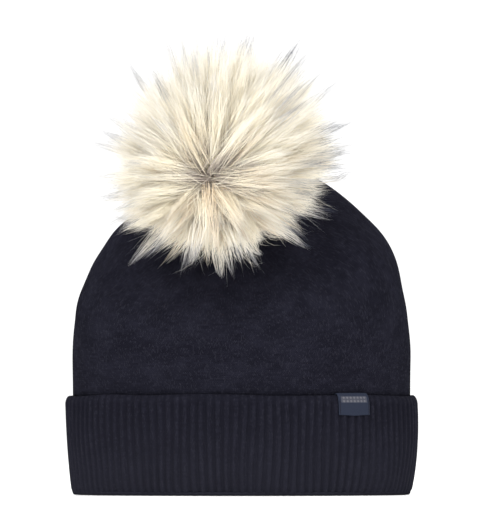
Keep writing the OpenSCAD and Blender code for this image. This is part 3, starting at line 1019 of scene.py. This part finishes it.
def strand_paths(roots, axis_tips, loose, bend):
    """Curves of one tuft's strands. They leave the ball squarely, lie down outwards and close up
    on the tuft's own line; loose is how far apart they stay at their tips."""
    s = np.linspace(0, 1, SEGMENTS)[None, :, None]
    length = np.linalg.norm(axis_tips - roots, axis=-1, keepdims=True)
    knee = roots + unit(roots) * length * bend[:, None]
    tips = axis_tips + loose
    return roots[:, None] * (1 - s) ** 2 + knee[:, None] * 2 * s * (1 - s) + tips[:, None] * s**2


def strands(name, paths, widths, columns):
    """Closed three-sided tapering tubes along paths, with the bake layer's u by column."""
    count, points_each = paths.shape[:2]
    ahead = unit(np.gradient(paths, axis=1))
    side = unit(np.cross(ahead, np.array([0.31, 0.52, 0.79])))
    up = np.cross(ahead, side)
    s = np.linspace(0, 1, points_each)[None]
    taper = widths[:, None] * (1 - 0.25 * s - 0.65 * s**3) * np.where(s == 0, 0.8, 1)
    a = np.arange(3)[:, None] / 3 * TAU
    ring = side[:, :, None] * np.cos(a) + up[:, :, None] * np.sin(a)
    body = (paths[:, :, None] + ring * taper[..., None, None])[:, :-1]
    verts = np.concatenate([body.reshape(count, -1, 3), paths[:, -1:]], 1)
    per = verts.shape[1]
    quads, row, column = grid_corners(points_each - 1, 3, False, True)
    outward = [0, 3, 2, 1]
    quads, quad_uv = quads[:, outward], np.stack([column, row], -1)[:, outward]
    last = points_each - 2
    tris = [(last * 3 + k, last * 3 + (k + 1) % 3, per - 1) for k in range(3)]
    tri_uv = [[(k, last), (k + 1, last), (k + 0.5, last + 1)] for k in range(3)]
    tris.append((0, 2, 1))
    tri_uv.append([(0, 0), (1, 0), (2, 0.02)])
    base = (np.arange(count) * per)[:, None, None]
    quads = (quads[None] + base).reshape(-1, 4)
    tris = (np.array(tris)[None] + base).reshape(-1, 3)

    def place(uv):
        uv = np.array(uv, float)
        u = (columns[:, None, None] + 0.2 + 0.2 * uv[None, ..., 0]) / FUR_COLUMNS
        v = np.broadcast_to(uv[None, ..., 1] / (points_each - 1), u.shape)
        return np.stack([u, v], -1).reshape(-1, 2)

    layers = [("OFBake", np.concatenate([place(quad_uv), place(tri_uv)]))]
    return new_piece(name, verts.reshape(-1, 3) + BALL, [quads, tris], fur, layers)


def sphere_points(count, random):
    """Unit vectors spread over the ball, except round its mouth."""
    i = np.arange(count) + 0.5
    height = 1 - 2 * i / count
    turn = i * math.pi * (3 - math.sqrt(5))
    ring = np.sqrt(1 - height**2)
    out = spokes(turn) * ring[:, None] + POM_AXIS * height[:, None]
    out = unit(out + random.normal(size=out.shape) * 0.8 / math.sqrt(count))
    return out[out @ POM_AXIS > math.cos(math.radians(155))]


class Fur:
    """Strands gathered up tuft by tuft, then made into pieces."""

    def __init__(self, random):
        self.random = random
        self.paths, self.widths, self.columns = [], [], []

    def add(self, centres, tips, bows, columns, per_tuft, spread, loose, lengths, widths, bend):
        """per_tuft strands for every tuft centre (a unit vector), tip, sideways bow and columns.
        spread is the tuft's width at the ball, loose the strands' straying at the tip; lengths are
        shares of the tuft's, widths are in mm, bend is the share of length that stands up."""
        random = self.random
        pick = np.repeat(np.arange(len(centres)), per_tuft)
        n = len(pick)
        roots = unit(centres[pick] + random.normal(size=(n, 3)) * spread) * BALL_R
        shortest = np.broadcast_to(lengths[0], len(centres))[pick]
        share = random.uniform(shortest, lengths[1]) ** 0.8
        stray = random.normal(size=(n, 3)) * loose
        paths = strand_paths(roots, tips[pick], stray, random.uniform(*bend, n))
        s = np.linspace(0, 1, SEGMENTS)
        paths = paths + bows[pick][:, None] * (s * (1 - s) * 4 * 0.35 + s**2 * 0.65)[None, :, None]
        curl = random.normal(size=(n, 3)) * 0.7 * MM
        paths = paths + curl[:, None] * np.sin(s * 2.6)[None, :, None]
        cut = share[:, None] * s[None] * (SEGMENTS - 1)
        low = np.minimum(cut.astype(int), SEGMENTS - 2)
        part = (cut - low)[..., None]
        row = np.arange(n)[:, None]
        paths = paths[row, low] * (1 - part) + paths[row, low + 1] * part
        paths[..., 2] = np.minimum(paths[..., 2], FUR_TOP - BALL[2])
        self.paths.append(above_knit(paths))
        self.widths.append(random.uniform(*widths, n) * MM)
        self.columns.append(columns[pick, random.integers(0, columns.shape[1], n)])


def in_streak(centres):
    """How far a tuft lies in one of the dark streaks that run out from the whorl, 0 to 1."""
    turn = np.degrees(np.arctan2(centres[:, 2] - WHORL[2], centres[:, 0] - WHORL[0]))
    off = (turn[:, None] - np.array(STREAKS) + 180) % 360 - 180
    return np.exp(-((off / STREAK_WIDTH) ** 2)).max(1)


def tone_column(tan, root_step):
    """The fur's colour column for a warmth from 0 to 1 and a step of root colour's length."""
    tone = np.rint(np.clip(tan, 0, 1) * (TONE_STEPS - 1)).astype(int)
    return tone * ROOT_STEPS + root_step


def tufts(pile):
    """Tufts of long fur, and softer fur between them."""
    random = pile.random
    centres = sphere_points(TUFTS, random)
    count = len(centres)
    ways = combed(centres)
    ways = unit(ways + random.normal(size=ways.shape) * 0.075)
    low = smooth((-ways[:, 2] - 0.2) / 0.5)
    lengths = random.uniform(0.90 - 0.46 * low, 1.06 + 0.14 * low)
    tips = ways * (fur_reach(ways) * lengths)[:, None]
    tips[:, 2] = np.minimum(tips[:, 2], TUFT_TOP - BALL[2])
    bows = random.normal(size=centres.shape) * 2.2 * MM
    parted = smooth((centres @ WHORL - math.cos(math.radians(62))) / 0.35)
    deep = random.random(count) < 0.03 + 0.97 * parted * in_streak(centres)
    root_step = np.where(deep, random.integers(5, ROOT_STEPS, count), random.integers(0, 3, count))
    tan = 0.47 + 0.08 * ways[:, 0] - 0.22 * ways[:, 2] + 0.12 * parted
    tan = tan + random.normal(size=count) * 0.13
    stray_tan = tan[:, None] + random.normal(size=(count, 8)) * 0.16
    stray_step = (root_step[:, None] + random.integers(-1, 2, (count, 8))).clip(0, ROOT_STEPS - 1)
    same = random.random((count, 8)) < 0.5
    tones = np.where(same, tone_column(tan, root_step)[:, None], tone_column(stray_tan, stray_step))
    pile.add(centres, tips, bows, tones, per_tuft=32, spread=0.070, loose=1.6 * MM,
                  lengths=(0.74 - 0.26 * low, 1.0), widths=(0.13, 0.20), bend=(0.30, 0.48))
    soft = tips * (random.uniform(0.82, 0.96, count) - 0.16 * low)[:, None]
    pile.add(centres, soft, bows * 1.5, tones, per_tuft=18, spread=0.13, loose=4.5 * MM,
                  lengths=(0.70, 1.0), widths=(0.12, 0.18), bend=(0.25, 0.50))


def guard_hairs(pile):
    """Dark-tipped guard tufts that stand out of the fur, and a few loose hairs with them."""
    random = pile.random
    ways = combed(sphere_points(GUARD_TUFTS, random))
    ways = ways[ways @ WHORL < math.cos(math.radians(50))]
    ways = ways[random.random(len(ways)) < 1 - 0.6 * smooth((-ways[:, 2] - 0.1) / 0.5)]
    ways = unit(ways + random.normal(size=ways.shape) * 0.12)
    roots = unit(ways + WHORL * 0.35)
    proud = random.uniform(8, 19, len(ways)) + 9 * (-ways[:, 2]).clip(0)
    tips = ways * (fur_reach(ways) + proud * MM)[:, None]
    tips[:, 2] = np.minimum(tips[:, 2], FUR_TOP - BALL[2])
    dark = 0.60 + 0.28 * ways[:, 0] - 0.05 * ways[:, 2] + random.normal(size=len(ways)) * 0.18
    dark = np.clip(dark[:, None] + random.normal(size=(len(ways), 6)) * 0.10, 0, 1)
    tones = PLAIN_COLUMNS + np.rint(dark * (GUARD_COLUMNS - 1)).astype(int)
    bows = random.normal(size=ways.shape) * 3.0 * MM
    pile.add(roots, tips, bows, tones, per_tuft=20, spread=0.07, loose=0.8 * MM,
                  lengths=(0.80, 1.0), widths=(0.13, 0.20), bend=(0.30, 0.48))
    pile.add(roots, tips * 0.97, -bows, tones, per_tuft=6, spread=0.12, loose=5.0 * MM,
                  lengths=(0.85, 1.0), widths=(0.08, 0.11), bend=(0.30, 0.48))


def pom_fur():
    """All the fur, cut into pieces by where the strands are rooted."""
    pile = Fur(np.random.default_rng(7))
    tufts(pile)
    guard_hairs(pile)
    paths, widths = np.concatenate(pile.paths), np.concatenate(pile.widths)
    columns = np.concatenate(pile.columns)
    order = np.argsort(np.arctan2(paths[:, 0, 0], paths[:, 0, 2]), kind="stable")
    for i, part in enumerate(np.array_split(order, FUR_PIECES)):
        piece = strands(f"pom_fur_{i + 1}", paths[part], widths[part], columns[part])
        stand_in(piece, "fur", "fur_pile", rides="pom")


# ---- snap and disc


def hardware():
    """The CAD snap and disc stay, with their real finishes."""
    snap = ("stud_cap", "snap_stud", "snap_spring", "snap_socket", "socket_cap")
    for name, finish in (*((part, nickel) for part in snap), ("base_disc", plastic)):
        materials = frame["nodes"][name].data.materials
        materials.clear()
        materials.append(finish)


# ---- stage


FLOOR_R = 40.0
# The floor follows this share of the cuff edge's slide, which keeps it just under the lowest edge
FLOOR_SHARE = 0.485
ROOM_LIGHT = 1.15
LOOK_AT = Vector((0, 0, 0.13))
# Each light's name, place, size in metres and power in watts
LIGHTS = (
    ("key", (-0.9, -1.6, 1.5), 1.0, 30.0),
    ("fill", (1.2, -1.4, 0.9), 1.2, 12.0),
    ("back", (0.4, 1.5, 1.6), 1.2, 14.0),
)
LENS = 1600
VIEW_HEIGHT = 0.3272
VIEW_X, VIEW_Z = 0.9 * MM, 144.9 * MM


def pale_floor():
    """A wide floor that stays under the hat's lowest edge."""
    paint = Paint("pale_floor", roughness=0.95, specular=0.1)
    mottle = paint.noise(paint.place(), 6.0, 2.0)
    paint.colour(paint.mix(mottle, (0.90, 0.90, 0.90), (0.93, 0.93, 0.93)))
    paint.put((1.0, 1.0, 1.0), paint.shader["Emission Color"])
    paint.put(0.10, paint.shader["Emission Strength"])
    rim = np.arange(96) / 96 * TAU
    disc = FLOOR_R * np.stack([np.cos(rim), np.sin(rim), 0 * rim], -1)
    floor = new_piece("floor", disc, [np.arange(96)[None]], paint.material)
    follow = floor.constraints.new("COPY_LOCATION")
    follow.target = frame["bodies"]["cuff_edge"]
    follow.use_x = follow.use_y = False
    follow.influence = FLOOR_SHARE


def studio():
    """White surroundings and soft lights that the camera doesn't see."""
    world = bpy.data.worlds.new("white_room")
    world.use_nodes = True
    sky = world.node_tree.nodes["Background"].inputs
    sky["Color"].default_value = (1, 1, 1, 1)
    sky["Strength"].default_value = ROOM_LIGHT
    bpy.context.scene.world = world
    for name, place, size, power in LIGHTS:
        lamp = bpy.data.lights.new(name, "AREA")
        lamp.size = size
        lamp.energy = power
        light = bpy.data.objects.new(name, lamp)
        bpy.context.scene.collection.objects.link(light)
        light.location = place
        light.rotation_mode = "QUATERNION"
        light.rotation_quaternion = (LOOK_AT - Vector(place)).to_track_quat("-Z", "Y")
        light.visible_camera = False


def camera():
    """A long lens level with the hat's middle, framed as the photograph is."""
    lens = bpy.data.cameras.new("camera")
    lens.lens = LENS
    distance = VIEW_HEIGHT * LENS / lens.sensor_width
    eye = bpy.data.objects.new("camera", lens)
    eye.location = (VIEW_X, -distance, VIEW_Z)
    eye.rotation_euler = (math.radians(90), 0, 0)
    lens.clip_start, lens.clip_end = 0.5, 100
    bpy.context.scene.collection.objects.link(eye)
    bpy.context.scene.camera = eye
    bpy.context.scene.view_settings.view_transform = "Standard"


for part in (crown, cuff, inner_band, woven_label, care_label, seams, cords, crown_tip, pom_ball,
             pom_fur, hardware, pale_floor, studio, camera):
    part()
